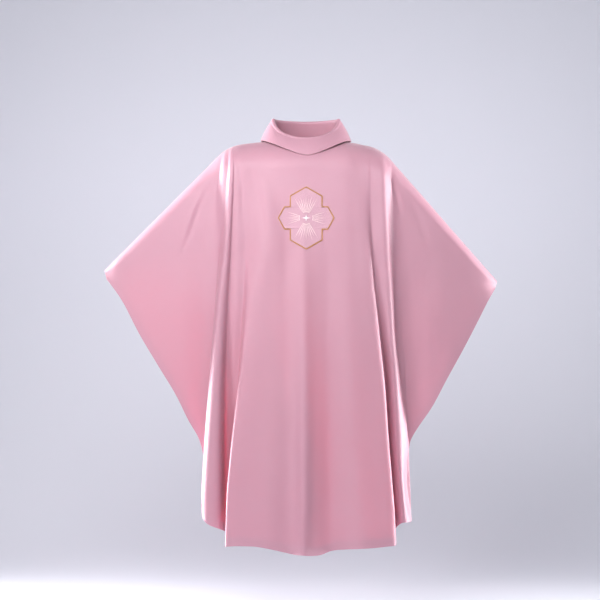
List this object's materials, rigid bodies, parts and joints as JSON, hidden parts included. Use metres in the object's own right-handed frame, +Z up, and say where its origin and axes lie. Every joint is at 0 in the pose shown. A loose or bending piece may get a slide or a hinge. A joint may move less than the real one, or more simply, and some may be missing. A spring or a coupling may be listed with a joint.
{
  "type": "chasuble",
  "caption": "Full bell-shaped chasuble in rose cloth with a turned-down roll collar and an embroidered chest cross, draped as on a wearer with both arms held out and down.",
  "frame": {"origin": "middle of the neck at shoulder height, where the wearer carries the garment", "axes": "+Z up, the front faces -Y, and the wearer's left is +X"},
  "size_m": [1.2084, 0.4104, 1.2928],
  "materials": {
    "shell": "satin",
    "trim": "matt",
    "interlining": "matt",
    "emblem_ground": "satin",
    "gold_thread": "metallic thread",
    "white_thread": "satin"
  },
  "bodies": {
    "garment": {"front_panel": "shell", "back_panel": "shell", "right_shoulder_binding": "trim", "left_shoulder_binding": "trim", "front_bottom_hem": "trim", "front_right_wing_hem": "trim", "front_left_wing_hem": "trim", "back_bottom_hem": "trim", "back_right_wing_hem": "trim", "back_left_wing_hem": "trim", "upper_collar": "shell", "collar_interlining": "interlining", "under_collar": "trim", "neckline_binding": "trim", "front_neck_facing": "trim", "back_neck_facing": "trim", "emblem_backing": "interlining", "emblem_ground": "emblem_ground", "emblem_border": "gold_thread", "emblem_upper_rays": "white_thread", "emblem_lower_rays": "white_thread", "emblem_left_rays": "white_thread", "emblem_right_rays": "white_thread", "emblem_star": "white_thread"},
    "hanging_loop": {"hanging_loop": "trim"}
  },
  "joints": [
    {"name": "hanging_loop_hinge", "type": "hinge", "parent": "garment", "child": "hanging_loop", "pos_m": [0, 0.08976, -0.00066], "axis": [-1, 0, 0], "range_deg": [0, 100]}
  ]
}
